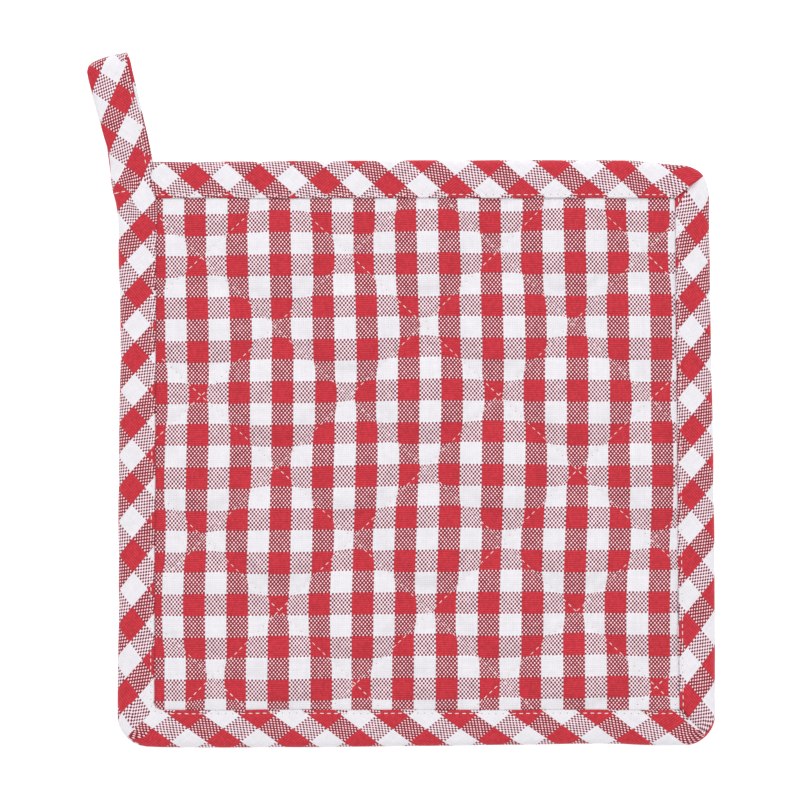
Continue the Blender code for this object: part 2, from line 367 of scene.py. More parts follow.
def sewn(number, lines, share):
    """Where a line of this number runs, this share of the way down."""
    low = min(max(2 * math.floor(number / 2.0), min(lines)), max(lines) - 2)
    below = between(*lines[low], share)
    above = between(*lines[low + 2], share)
    return between(below, above, (number - low) / 2.0)


def panel_point(across, down):
    """The place of a quilted point, counted in half diamonds right and down from the first crossing."""
    share = (down + 0.8) / 7.0
    rising = sewn(across + down, RISING_LINES, share)
    falling = sewn(across - down, FALLING_LINES, share)
    x = FIRST_CROSSING[0] + HALF_DIAMOND[0] * (rising + falling) / 2.0
    y = FIRST_CROSSING[1] - HALF_DIAMOND[1] * (rising - falling) / 2.0
    return x, y


def puff(number):
    """0 on a sewn line and 1 halfway to the next."""
    return abs(math.sin(math.pi * number / 2.0)) ** PUFF_FULLNESS


def face_height(x, y, across, down):
    inset = inset_of(x, y)
    rise = smooth((inset - PAD_INSETS[-1]) / PAD_RISE)
    crown = CROWN * smooth(inset / TOP_EDGE)
    channel = between(PAD_EDGE_HIGH, CHANNEL_HEIGHT + crown, rise)
    return channel + PUFF_HEIGHT * rise * puff(across + down) * puff(across - down)


def back_height(x, y, across, down):
    edge = 1.0 - smooth((inset_of(x, y) - PAD_INSETS[-2]) / BACK_EASE)
    full = min(puff(across + down) * puff(across - down) * BACK_FLATNESS, 1.0)
    return lift(x, y) + max(PAD_EDGE_LOW * edge, BACK_CHANNEL * (1.0 - full) ** 1.5)


def rounded(x, y):
    """Moves a point of the square corner into the round one, edge onto edge."""
    for corner_x, corner_y, radius in CORNERS.values():
        side_x, side_y = math.copysign(1, corner_x), math.copysign(1, corner_y)
        out_x = (x - corner_x) * side_x + radius
        out_y = (y - corner_y) * side_y + radius
        if out_x > 0 and out_y > 0:
            pull = max(out_x, out_y) / math.hypot(out_x, out_y)
            x = corner_x + side_x * (out_x * pull - radius)
            y = corner_y + side_y * (out_y * pull - radius)
    return x, y


def pad_stations(first, last):
    """(kind, value) of each grid line: held edge, quilted lines by number, and the other held edge."""
    panel = [("panel", number / CELLS_PER_HALF) for number in range(first, last + 1)]
    low = [("low", inset) for inset in PAD_INSETS]
    high = [("high", inset) for inset in reversed(PAD_INSETS)]
    return low + panel + high


def panel_line(station, stations):
    """A station's number among the quilted lines, or the outermost one next to it."""
    outermost = {"low": stations[len(PAD_INSETS)][1], "high": stations[-len(PAD_INSETS) - 1][1]}
    return outermost.get(station[0], station[1])


def pad_point(column, row, columns, rows):
    """(x, y, across, down) of a grid corner."""
    across, up = panel_line(column, columns), panel_line(row, rows)
    x, y = panel_point(across, -up)
    if row[0] != "panel":
        y = BOTTOM_EDGE + row[1] if row[0] == "low" else TOP_EDGE - row[1]
    if column[0] != "panel":
        x = left_edge(y) + column[1] if column[0] == "low" else right_edge(y) - column[1]
    return (*wandered(*rounded(x, y)), across, -up)


def on_line(number):
    return abs(number / 2.0 - round(number / 2.0)) < 0.01


def pad_mesh():
    columns = pad_stations(*PANEL_COLUMNS)
    rows = pad_stations(*PANEL_ROWS)

    def place(i, j):
        x, y, across, down = pad_point(columns[i], rows[j], columns, rows)
        return x, y, face_height(x, y, across, down)

    bm, corners = grid_of(len(columns) - 1, len(rows) - 1, place)
    held = bm.verts.layers.deform.verify()
    quilt = bm.loops.layers.uv["quilt"]
    heights = bm.verts.layers.float["back"]
    for (i, j), vert in corners.items():
        x, y, across, down = pad_point(columns[i], rows[j], columns, rows)
        vert[heights] = back_height(x, y, across, down)
        inner = columns[i][0] == rows[j][0] == "panel"
        if not inner or on_line(across - down) or on_line(across + down):
            vert[held][0] = 1.0
        for loop in vert.link_loops:
            loop[quilt].uv = across, down
    crease_lines(bm, corners, columns, rows)
    extruded = bmesh.ops.extrude_face_region(bm, geom=bm.faces[:])["geom"]
    for vert in (item for item in extruded if isinstance(item, bmesh.types.BMVert)):
        vert[held][0] = 1.0
        vert.co.z = vert[heights] * MM
    bm.verts.layers.float.remove(heights)
    bmesh.ops.recalc_face_normals(bm, faces=bm.faces)
    put_in_order(bm)
    piece = object_of("quilted_gingham_pad", bm)
    piece.vertex_groups.new(name="sewn")
    return piece


def put_in_order(bm):
    """Sorts edges and faces by their corners.

    Extruding leaves them in another order each run, and the cloth solver adds up in that order.
    """
    bm.verts.index_update()
    count = len(bm.verts)

    def rank(item):
        first, second, *rest = sorted(vert.index for vert in item.verts)
        return (first * count + second) * count + (rest[0] if rest else 0)

    bm.edges.sort(key=rank)
    bm.faces.sort(key=rank)


def crease_lines(bm, corners, columns, rows):
    """Cuts the cells that a sewn line crosses along that line, and keeps its edges sharp."""
    crease = bm.edges.layers.float["crease_edge"]
    for (i, j), vert in corners.items():
        for step in (1, -1):
            end = (i + 1, j + step)
            if end not in corners or not on_line(columns[i][1] - step * rows[j][1]):
                continue
            if {columns[i][0], columns[i + 1][0], rows[j][0], rows[j + step][0]} != {"panel"}:
                continue
            faces = set(vert.link_faces) & set(corners[end].link_faces)
            if faces:
                bmesh.utils.face_split(faces.pop(), vert, corners[end])
                edge = bm.edges.get((vert, corners[end]))
                edge[crease] = LINE_SHARPNESS


SIM_FRAMES = 18
MOST_SWELL = 2.2
COTTON = {
    "quality": 6, "mass": 0.15, "tension_stiffness": 25, "compression_stiffness": 12,
    "shear_stiffness": 8, "bending_stiffness": 0.02, "vertex_group_mass": "sewn",
    "use_pressure": True, "uniform_pressure_force": 3.0, "shrink_min": -0.02,
}


def inflate(piece):
    """Lets the wadding swell the cloth between its sewn lines."""
    before = [vert.co.copy() for vert in piece.data.vertices]
    cloth = piece.modifiers.new("wadding", "CLOTH")
    for setting, value in COTTON.items():
        setattr(cloth.settings, setting, value)
    cloth.settings.effector_weights.gravity = 0.0
    cloth.collision_settings.use_collision = False
    cloth.point_cache.frame_start = 1
    cloth.point_cache.frame_end = SIM_FRAMES
    scene = bpy.context.scene
    for step in range(1, SIM_FRAMES + 1):
        scene.frame_set(step)
    apply_modifiers(piece)
    scene.frame_set(1)
    for vert, start in zip(piece.data.vertices, before):
        move = vert.co - start
        if move.length > MOST_SWELL * MM:
            vert.co = start + move * (MOST_SWELL * MM / move.length)


def three_way(values, place):
    """Between three values that hold at DRIFT_PLACES."""
    low, middle, high = DRIFT_PLACES
    share = min(max((place - middle) / (high - middle), -1.0), 1.0)
    onto = values[2] if share > 0 else values[0]
    return between(values[1], onto, abs(share))


def drawn_in(number):
    """How much further on the cloth really is, because it dips into the nearest sewn line."""
    away = number - 2.0 * round(number / 2.0)
    pinched = 1.0 - math.exp(-abs(away) / PINCH_WIDTH)
    return math.copysign(PINCH * pinched * (1.0 - abs(away)), away)


def gingham_place(x, y, across, down):
    """Repeats across and up at a place on the panel."""
    rising, falling = drawn_in(across + down), drawn_in(across - down)
    x += HALF_DIAMOND[0] * (rising + falling) / 2.0
    y -= HALF_DIAMOND[1] * (rising - falling) / 2.0
    sideways = three_way(read_table(COLUMN_DRIFT, y, onward=False), x)
    upward = three_way(read_table(ROW_DRIFT, x, onward=False), y)
    right = x - sideways - WOBBLE[0] * grain(x, y, WOBBLE[1], 1.0)
    up = y - upward - WOBBLE[0] * grain(x, y, WOBBLE[1], 5.0)
    return (right - RED_STRIPE[0]) / REPEAT[0], (up - RED_STRIPE[1]) / REPEAT[1]


def lay_gingham(piece):
    """Writes the cloth's UV map, in repeats, from each face corner's place on the quilt."""
    cloth = piece.data.uv_layers["cloth"]
    quilt = piece.data.uv_layers["quilt"]
    vertices = piece.data.vertices
    for loop in piece.data.loops:
        co = vertices[loop.vertex_index].co
        across, down = quilt.data[loop.index].uv
        cloth.data[loop.index].uv = gingham_place(co.x / MM, co.y / MM, across, down)
    piece.data.uv_layers.remove(quilt)


def quilted_pad():
    piece = pad_mesh()
    inflate(piece)
    piece.vertex_groups.clear()
    rounds = piece.modifiers.new("rounds", "SUBSURF")
    rounds.levels = rounds.render_levels = 1
    apply_modifiers(piece)
    lay_gingham(piece)
    return piece


# ---- bias strip ----


SIDES = {
    # side: (first corner, last corner), clockwise
    "top": ("top_left", "top_right"),
    "right": ("top_right", "bottom_right"),
    "bottom": ("bottom_right", "bottom_left"),
    "left": ("bottom_left", "top_left"),
}


def side_point(side, share, inset):
    """A point of one side at this inset from the outer edge, clockwise."""
    start, end = SIDES[side]
    (x0, y0, r0), (x1, y1, r1) = CORNERS[start], CORNERS[end]
    length = math.hypot(x1 - x0, y1 - y0)
    along = Vector(((x1 - x0) / length, (y1 - y0) / length))
    inward = Vector((along.y, -along.x))
    first = STRIP_START - x0 if side == "top" else max(r0, inset + INNER_RADIUS[start])
    last = max(r1, inset + INNER_RADIUS[end])
    place = between(first, length - last, share)
    size, run = EDGE_UNEVEN
    uneven = size * grain(x0 + along.x * place, y0 + along.y * place, run, inset / 20.0)
    uneven *= min(place, length - place, 12.0) / 12.0
    point = Vector((x0, y0)) + along * place + inward * (inset + uneven)
    return point.x, point.y


def corner_point(name, share, inset):
    """A point of a turned corner at this inset, clockwise from share 0 to 1."""
    x, y, full = CORNERS[name]
    radius = max(full - inset, INNER_RADIUS[name])
    centre_x = x - math.copysign(inset + radius, x)
    centre_y = y - math.copysign(inset + radius, y)
    start = {"top_right": 90.0, "bottom_right": 0.0, "bottom_left": -90.0}[name]
    angle = math.radians(start - 90.0 * share)
    return centre_x + radius * math.cos(angle), centre_y + radius * math.sin(angle)


def ring_stations():
    """(kind, name, share, lap, side) of each cross-section of the binding, clockwise."""
    sides = list(SIDES)
    stations = []
    for side, onward in zip(sides, sides[1:] + [None]):
        for step in range(SIDE_STEPS + 1):
            share = step / SIDE_STEPS
            if side == "left" and side_point(side, share, 0.0)[1] > LEFT_STRIP_END:
                break
            stations.append(("side", side, share, 0.0, side))
        if onward:
            stations += turn_stations(SIDES[side][1], side, onward)
    return stations


def turn_stations(turn, side, onward):
    """The cross-sections of one corner. At the fold, one side steps up or down to the other."""
    lap, fold = LAPS[turn], FOLD_STEPS[turn]
    before, after = max(lap, lap * LAP_DIP), max(-lap, -lap * LAP_DIP)
    stations = []
    for step in range(1, TURN_STEPS):
        share, folded = step / TURN_STEPS, bool(lap) and step == fold
        near = smooth(1.0 - abs(step - fold) / TURN_STEPS / FOLD_REACH)
        if step < fold or folded:
            stations.append(("turn", turn, share - FOLD_WIDTH * folded, before * near, side))
        if step >= fold:
            stations.append(("turn", turn, share + FOLD_WIDTH * folded, after * near, onward))
    return stations


def ring_point(kind, name, share, inset):
    if kind == "side":
        return side_point(name, share, inset)
    return corner_point(name, share, inset)


def section_points():
    """(kind, inset, layer) across the strip from its back hem to its front hem.

    The layer is 1 on the front, -1 on the back and in between on the outer fold.
    """
    front = []
    for step in range(5):
        angle = math.pi / 2 * step / 4
        front.append(("fold", SHOULDER * (1.0 - math.cos(angle)), math.sin(angle)))
    front += [("flap", REACH * share, 1.0) for share in FRONT_SHARES]
    front += [("flap", REACH - left, 1.0) for left in NEAR_HEM]
    front.append(("turn", REACH, 0.5))
    front += [("hem", REACH - left, 1.0) for left in (0.35, 2.0, HEM_WIDTH)]
    back = [(kind, inset, -layer) for kind, inset, layer in reversed(front[1:])]
    return back + front


def catmull(rows, place):
    """A row of numbers read from a table at a fractional row, on a smooth curve through its rows."""
    low = min(int(place), len(rows) - 2)
    share = place - low
    before, start = rows[max(low - 1, 0)], rows[low]
    end, after = rows[low + 1], rows[min(low + 2, len(rows) - 1)]
    values = []
    for a, b, c, d in zip(before, start, end, after):
        bend, twist = 2 * a - 5 * b + 4 * c - d, 3 * b - 3 * c + d - a
        values.append(0.5 * (2 * b + (c - a) * share + bend * share ** 2 + twist * share ** 3))
    return values


LEG_SAMPLES = 400


def leg_rows(rows, steps):
    """Evenly spaced cross-sections of one leg, each with how far along it lies."""
    points = [catmull(rows, (len(rows) - 1) * step / LEG_SAMPLES) for step in range(LEG_SAMPLES + 1)]
    travelled = [0.0]
    for one, two in zip(points, points[1:]):
        forward = math.hypot(two[0] - one[0] + two[2] - one[2], two[1] - one[1] + two[3] - one[3]) / 2
        travelled.append(travelled[-1] + forward)
    result = []
    for step in range(steps + 1):
        target = travelled[-1] * step / steps
        index = min(range(LEG_SAMPLES + 1), key=lambda k: abs(travelled[k] - target))
        result.append((points[index], travelled[index]))
    return result


def leg_station(row, upward):
    """(left point, across, normal, half thickness, width) of one cross-section of a leg."""
    left, right = Vector((row[0], row[1], 0.0)), Vector((row[2], row[3], 0.0))
    across, width = (right - left).normalized(), (right - left).length
    left.z = (row[4] + row[5]) / 2
    return left, across, Vector((0, 0, upward)), (row[5] - row[4]) / 2, width


def tape_place(x, y):
    """Distance up the loop's front leg, and across it from its left edge."""
    lean = math.radians(TAPE_LEAN)
    right, up = x - TAPE_FOOT[0], y - TAPE_FOOT[1]
    return up * math.cos(lean) - right * math.sin(lean), right * math.cos(lean) + up * math.sin(lean)


def tape_stations():
    """Each leg_station() and its distance up the loop, from the corner round the loop's end and back."""
    stations = []
    for row, _ in leg_rows(FRONT_LEG, LEG_STEPS[0]):
        station = leg_station(row, 1)
        reached = tape_place(station[0].x, station[0].y)[0]
        stations.append((*station, reached))
    top, bottom = FRONT_LEG[-1], BACK_LEG[0]
    top_middle, low_middle = (top[4] + top[5]) / 2, (bottom[4] + bottom[5]) / 2
    radius = (top_middle - low_middle) / 2
    across = Vector((top[2] - top[0], top[3] - top[1], 0.0)).normalized()
    onward = Vector((-across.y, across.x, 0.0))
    for step in range(1, TURNED_STEPS):
        angle, share = math.pi * step / TURNED_STEPS, step / TURNED_STEPS
        left = Vector((between(top[0], bottom[0], share), between(top[1], bottom[1], share), 0.0))
        left += onward * radius * math.sin(angle) + across * END_PINCH * math.sin(angle)
        left.z = low_middle + radius * (1.0 + math.cos(angle))
        normal = Vector((0, 0, math.cos(angle))) + onward * math.sin(angle)
        width = math.dist(top[0:2], top[2:4]) - END_NARROWS[0] * math.sin(angle) - END_NARROWS[1] * share
        stations.append((left, across, normal, END_HALF, width, reached + radius * angle))
    reached += math.pi * radius
    for row, travelled in leg_rows(BACK_LEG, LEG_STEPS[1]):
        stations.append((*leg_station(row, -1), reached + travelled))
    return stations


def ring_heights(x, y):
    """Heights of the binding's back and front layers."""
    under_start = smooth((-74.0 - x) / 12.0) if y > 80.0 else 0.0
    return CLOTH_THICK / 2 + lift(x, y) + 0.55 * under_start, EDGE_HEIGHT - CLOTH_THICK / 2


def layer_offset(kind, inset, layer, half, seam_inset):
    """How far a point of the section lies from the strip's middle plane."""
    sign = math.copysign(1.0, layer)
    if kind == "hem":
        return sign * (half - HEM_DROP)
    if kind == "turn":
        return sign * (half - HEM_DROP / 2)
    if kind == "flap":
        seam = math.exp(-((inset - seam_inset) / SEAM_WIDTH) ** 2)
        full = math.sin(math.pi * min(max((inset - 1.5) / (REACH - 2.0), 0.0), 1.0))
        return sign * (half - SEAM_DIP * seam + FULLNESS * full)
    return half * layer


def cloth_insets(section, half):
    """The inset of each section point measured along the cloth, so that the back is below 0."""
    flat = [(inset, layer_offset(kind, inset, layer, half, 0.0)) for kind, inset, layer in section]
    lengths = [0.0]
    for one, two in zip(flat, flat[1:]):
        lengths.append(lengths[-1] + math.dist(one, two))
    anchor = front_flaps(section)[0]
    return [length + section[anchor][1] - lengths[anchor] for length in lengths]


def front_flaps(section):
    return [index for index, (kind, _, layer) in enumerate(section) if kind == "flap" and layer > 0]


def strip_repeats(side, x, y, further=0.0):
    """Repeats of the warp and the weft stripes at a place on one side, or this much further in from it."""
    along, inset = tape_place(x, y) if side == "tape" else beside(side, x, y)
    warp, weft = repeats_at(side, along, inset + further)
    if side in ("left", "tape"):
        middle, spread, most = GATHER
        inner = smooth((x - left_edge(y) - 2.0) / 5.0)
        weft += most * math.exp(-((y - middle) / spread) ** 2) * inner
    return warp, weft


def eased_repeats(side, x, y, further):
    """Repeats at the corner that is turned without a mitre.

    Near the outer edge one side's stripes flow into the next one's. Further in, spare cloth is tucked away.
    """
    right = max(left_edge(y) + EASED_CORNER - x, 0.0)
    up = max(BOTTOM_EDGE + EASED_CORNER - y, 0.0)
    flowing = smooth(math.atan2(right, up) / (math.pi / 2))
    tucked = smooth((inset_of(x, y) - 1.0) / 4.0)
    share = between(flowing, 1.0 if side == "left" else 0.0, tucked)
    one, two = strip_repeats("bottom", x, y, further), strip_repeats("left", x, y, further)
    return between(one[0], two[0], share), between(one[1], two[1], share)


def repeats_at(side, along, inset):
    period, skew, rows = STRIP_PATTERN[side]
    warp, weft = read_table(rows, along)
    inward = inset - PATTERN_INSET
    return warp - inward * (1.0 / period + skew / 22.0), weft + inward * (1.0 / period - skew / 22.0)


def strip_columns(section):
    """The points of each cross-section of the whole strip, and how each is marked with the gingham."""
    columns, marks = [], []
    for kind, name, share, lap, side in ring_stations():
        points = []
        for part, inset, layer in section:
            x, y = wandered(*ring_point(kind, name, share, inset))
            low, high = ring_heights(x, y)
            z = (high + low) / 2 + layer_offset(part, inset, layer, (high - low) / 2, EDGE_STITCH_INSET)
            if layer > 0 and inset > LAP_START:
                z += lap * min((inset - LAP_START) / LAP_RUN, 1.0)
                z += sum(size * grain(x, y, run, seed) for size, run, seed in UNEVEN)
            points.append((x, y, z))
        columns.append(points)
        marks.append((side, None, 1.0))
    for left, across, normal, half, width, reached in tape_stations():
        points = []
        turned = math.sqrt(max(1.0 - normal.z ** 2, 0.0))
        for part, inset, layer in section:
            offset = layer_offset(part, inset, layer, half, REACH - TAPE_STITCH_INSET)
            point = left + across * inset * width / REACH + normal * offset
            rounding = END_ROUNDING * turned * (1.0 - inset / REACH) ** 7
            point -= Vector((-across.y, across.x, 0.0)) * rounding
            if layer > 0:
                opened = smooth((left.y - SHUT_BELOW) / OPEN_OVER) * smooth(normal.z)
                point -= across * FRONT_SHORT * opened * smooth((inset - 8.0) / 4.0)
            points.append(tuple(point))
        columns.append(points)
        flat = normal.z > 0.99
        marks.append(("tape", None if flat else reached, width / REACH))
    return columns, marks


def mark_of(section, column, mark, index, insets, side):
    """The repeats at one point of a cross-section, counted from the nearest flat point of its front."""
    part, reached, widening = mark
    if reached is not None:
        return repeats_at("tape", reached, insets[index] * widening)
    flaps = front_flaps(section)
    anchor = min(max(index, flaps[0]), flaps[-1])
    x, y, _ = column[anchor]
    further = (insets[index] - insets[anchor]) * widening
    if part == "tape":
        share = smooth((y - BACK_OF_STRIP) / 12.0)
        one, two = strip_repeats("left", x, y, further), strip_repeats("tape", x, y, further)
        return between(one[0], two[0], share), between(one[1], two[1], share)
    if x < left_edge(y) + EASED_CORNER and y < BOTTOM_EDGE + EASED_CORNER:
        return eased_repeats(side, x, y, further)
    return strip_repeats(side, x, y, further)


def bias_strip():
    section = section_points()
    insets = cloth_insets(section, SHOULDER)
    columns, marks = strip_columns(section)
    bm, corners = grid_of(len(columns) - 1, len(section) - 1, lambda i, j: columns[i][j])
    bm.verts.index_update()
    pair_of = {vert.index: pair for pair, vert in corners.items()}
    cloth = bm.loops.layers.uv["cloth"]
    for face in bm.faces:
        pairs = [pair_of[loop.vert.index] for loop in face.loops]
        side = marks[min(pair[0] for pair in pairs)][0]
        for loop, (i, j) in zip(face.loops, pairs):
            loop[cloth].uv = mark_of(section, columns[i], marks[i], j, insets, side)
    bm.verts.layers.float.remove(bm.verts.layers.float["back"])
    bmesh.ops.recalc_face_normals(bm, faces=bm.faces)
    piece = object_of("bias_cut_strip", bm)
    piece.data.uv_layers.remove(piece.data.uv_layers["quilt"])
    body = piece.modifiers.new("cloth thickness", "SOLIDIFY")
    body.thickness = CLOTH_THICK * MM
    body.offset = 0.0
    apply_modifiers(piece)
    return piece


# ---- thread ----


def bead(segments, rings, shape):
    """A small ball reshaped point by point."""
    bpy.ops.object.select_all(action="DESELECT")
    bpy.ops.mesh.primitive_uv_sphere_add(segments=segments, ring_count=rings, radius=0.5)
    ball = bpy.context.object
    for vert in ball.data.vertices:
        vert.co = Vector(shape(*vert.co)) * MM
    mesh = ball.data
    mesh.shade_smooth()
    bpy.data.objects.remove(ball)
    return mesh


def stitch_shape(x, y, z):
    """A short length of sewing thread, its ends dipping into the cloth."""
    end = abs(2.0 * z) ** 4
    return z * STITCH_LENGTH, y * STITCH_WIDTH * (1.0 - end) ** 0.2, x * STITCH_WIDTH * 0.8 - 0.2 * end


def hole_shape(x, y, z):
    return x * HOLE_WIDTH, y * HOLE_WIDTH, z * HOLE_WIDTH * 0.35


def join_copies(name, mesh, places):
    """Joins a copy of a small mesh at each (point, direction, normal)."""
    bm = bmesh.new()
    for point, along, normal in places:
        start = len(bm.verts)
        bm.from_mesh(mesh)
        bm.verts.ensure_lookup_table()
        side = normal.cross(along).normalized()
        forward = side.cross(normal).normalized()
        turn = Matrix((forward, side, normal)).transposed().to_4x4()
        turn.translation = point
        bmesh.ops.transform(bm, matrix=turn, verts=bm.verts[start:])
    bmesh.ops.recalc_face_normals(bm, faces=bm.faces)
    return object_of(name, bm)


def surface_at(tree, x, y, from_above=True):
    """The point and normal of a surface straight below, or straight above, a place."""
    start = Vector((x * MM, y * MM, 0.1 if from_above else -0.1))
    return tree.ray_cast(start, Vector((0, 0, -1 if from_above else 1)))[:2]


def quilting_lines():
    """Each sewn line as a list of (x, y), a fraction of a millimetre apart, inside the binding."""
    lines = []
    for slope, table in ((1, FALLING_LINES), (-1, RISING_LINES)):
        for number in table:
            points = []
            for step in range(*LINE_STEPS):
                down = step * LINE_STEP
                x, y = panel_point(number + slope * down, down)
                if inset_of(x, y) > REACH + QUILTING_GAP:
                    points.append((x, y))
            if len(points) > FEWEST_POINTS:
                lines.append(points)
    return lines


def stitches_along(points, phase=0.0):
    """(x, y, direction) every stitch pitch along a path."""
    places = []
    travelled, due = 0.0, STITCH_PITCH * (0.5 + phase)
    for one, two in zip(points, points[1:]):
        step = math.dist(one, two)
        while step and travelled + step >= due:
            share = (due - travelled) / step
            direction = Vector((two[0] - one[0], two[1] - one[1], 0.0)).normalized()
            places.append((between(one[0], two[0], share), between(one[1], two[1], share), direction))
            due += STITCH_PITCH * (1.0 + 0.06 * grain(two[0], two[1], 3.0, 9.0))
        travelled += step
    return places


def lay_on(tree, places, from_above=True, sink=0.05):
    laid = []
    for x, y, direction in places:
        point, normal = surface_at(tree, x, y, from_above)
        if point is None:
            continue
        wobble = 0.12 * grain(x, y, 1.7, 4.0)
        direction = Matrix.Rotation(wobble, 3, "Z") @ direction
        laid.append((point - normal * sink * MM, direction, normal))
    return laid


def tree_of(piece):
    return BVHTree.FromObject(piece, bpy.context.evaluated_depsgraph_get())


def edge_stitch_path():
    path = []
    for kind, name, share, *_ in ring_stations():
        x, y = ring_point(kind, name, share, EDGE_STITCH_INSET)
        if x > LEFT_STRIP_HEM or y < 80.0:
            path.append((x, y))
    return path


def tape_stitch_path():
    path = []
    for row, _ in leg_rows(FRONT_LEG, 60):
        left, right = Vector(row[0:2]), Vector(row[2:4])
        point = right + (left - right).normalized() * TAPE_STITCH_INSET
        if point.y > 97.0:
            path.append(tuple(point))
    return path


def gaps_of(places):
    """The places halfway between one stitch and the next, where the needle went through."""
    gaps = []
    for (x0, y0, direction), (x1, y1, _) in zip(places, places[1:]):
        if math.dist((x0, y0), (x1, y1)) < STITCH_PITCH * 1.5:
            gaps.append(((x0 + x1) / 2, (y0 + y1) / 2, direction))
    return gaps


def sewing(pad, strip):
    """The quilting thread, the edging thread and the painted shade in the needle holes."""
    stitch = bead(6, 6, stitch_shape)
    # Each needle hole gets a dark speck of painted shade.
    hole = bead(6, 4, hole_shape)
    pad_tree, strip_tree = tree_of(pad), tree_of(strip)
    quilting, edging, hole_shades = [], [], []
    for number, points in enumerate(quilting_lines()):
        places = stitches_along(points, 0.37 * number % 1.0)
        for above in (True, False):
            quilting += lay_on(pad_tree, places, above)
            hole_shades += lay_on(pad_tree, gaps_of(places), above, 0.02)
    edge, tape = stitches_along(edge_stitch_path()), stitches_along(tape_stitch_path())
    tacks = [(x, y, Vector((1.0, 0.18, 0.0))) for x, y in TACKS]
    for places, above in ((edge, True), (edge, False), (tape, True), (tacks, True)):
        edging += lay_on(strip_tree, places, above)
        hole_shades += lay_on(strip_tree, gaps_of(places), above, 0.02)
    return (join_copies("quilting_thread", stitch, quilting),
            join_copies("edging_thread", stitch, edging),
            join_copies("needle_hole_shade", hole, hole_shades))


# ---- materials ----

RED_YARN = (0.505, 0.031, 0.046)
WHITE_YARN = (0.745, 0.73, 0.765)
# Painted shade: where red crosses white, the red warp ground and the red weft dots are darkened red.
SHADED_RED = (0.235, 0.018, 0.030)
SHADED_RED_DOT = (0.15, 0.038, 0.048)
BLUSH_DOT = (0.90, 0.62, 0.66)
PALE_GROUND = (0.87, 0.69, 0.75)
THREAD_WHITE = (0.80, 0.70, 0.70)
# Painted shade: the dark specks laid where the needle went through stand for the shade in each hole.
HOLE_SHADE_GREY = (0.10, 0.10, 0.10)

# Weave
SLACK = 0.24
WHITE_DOT_EDGE = (0.12, 0.53)
RED_DOT_EDGE = (-0.14, 0.18)
# A painted highlight on each yarn's crown, and the tone the rest of the yarn keeps.
CROWN_HIGHLIGHT, BASE_TONE = 0.10, 0.92
THREAD_SPREAD = 0.03
DYE_SPREAD = 0.24
# Painted shade across the weft ribs of red on red: how much the tone changes over a rib, and its value at
# the rib's edges.
RED_RIB_SHADE = (0.4, -0.26)
# The share of the tone, painted highlight and shade included, that checks of red crossing white keep.
MIXED_TONE = 0.4
WEAVE_RELIEF, WEAVE_DEPTH = 0.6, 0.12
FLECK_SOCKETS = ("Fineness", "Detail", "Harshness", "Spread")
FLECKS = {
    # finish: a value for each of FLECK_SOCKETS
    "gingham": (420.0, 4.0, 0.7, 0.2),
    "thread": (4000.0, 2.0, 0.5, 0.2),
    "hole": (700.0, 2.0, 0.5, 4.0),
}


class Web:
    """Lays nodes in a tree, so that a formula reads as calls."""

    def __init__(self, tree):
        self.tree = tree

    def node(self, kind, feeds=(), **settings):
        """A node with these settings, its input sockets fed with values or other sockets."""
        node = self.tree.nodes.new(kind)
        for name, value in settings.items():
            setattr(node, name, value)
        for name, value in dict(feeds).items():
            self.join(node.inputs[name], value)
        return node

    def join(self, socket, value):
        if isinstance(value, bpy.types.NodeSocket):
            self.tree.links.new(value, socket)
        else:
            socket.default_value = value

    def math(self, operation, *values, clamp=False):
        node = self.node("ShaderNodeMath", operation=operation, use_clamp=clamp)
        for socket, value in zip(node.inputs, values):
            self.join(socket, value)
        return node.outputs[0]

    def mix(self, share, one, two):
        node = self.node("ShaderNodeMix", data_type="RGBA")
        for socket, value in zip((0, 6, 7), (share, one, two)):
            self.join(node.inputs[socket], value)
        return node.outputs[2]

    def toned(self, colour, tone):
        """The colour made this many times as light."""
        node = self.node("ShaderNodeHueSaturation", {"Value": tone, "Color": colour})
        return node.outputs["Color"]

    def ramp(self, value, low, high):
        """0 below low and 1 above high, softly joined."""
        feeds = {"Value": value, "From Min": low, "From Max": high}
        return self.node("ShaderNodeMapRange", feeds, interpolation_type="SMOOTHSTEP").outputs["Result"]

    def spread(self, value, width):
        """A number from 0 to 1 spread evenly about 0."""
        return self.math("MULTIPLY_ADD", value, width, -width / 2)

    def chance(self, across, up):
        """A steady number from 0 to 1 for each pair of whole numbers."""
        pair = self.node("ShaderNodeCombineXYZ", {"X": across, "Y": up})
        feeds = {"Vector": pair.outputs[0]}
        return self.node("ShaderNodeTexWhiteNoise", feeds, noise_dimensions="2D").outputs["Value"]


def group_tree(name, inputs, outputs):
    """A node group with these (name, kind, default) sockets, its web, and what comes in and goes out."""
    tree = bpy.data.node_groups.new(name, "ShaderNodeTree")
    for direction, sockets in (("INPUT", inputs), ("OUTPUT", outputs)):
        for label, kind, *default in sockets:
            socket = tree.interface.new_socket(label, in_out=direction, socket_type="NodeSocket" + kind)
            if default:
                socket.default_value = default[0]
    web = Web(tree)
    return tree, web, web.node("NodeGroupInput").outputs, web.node("NodeGroupOutput").inputs


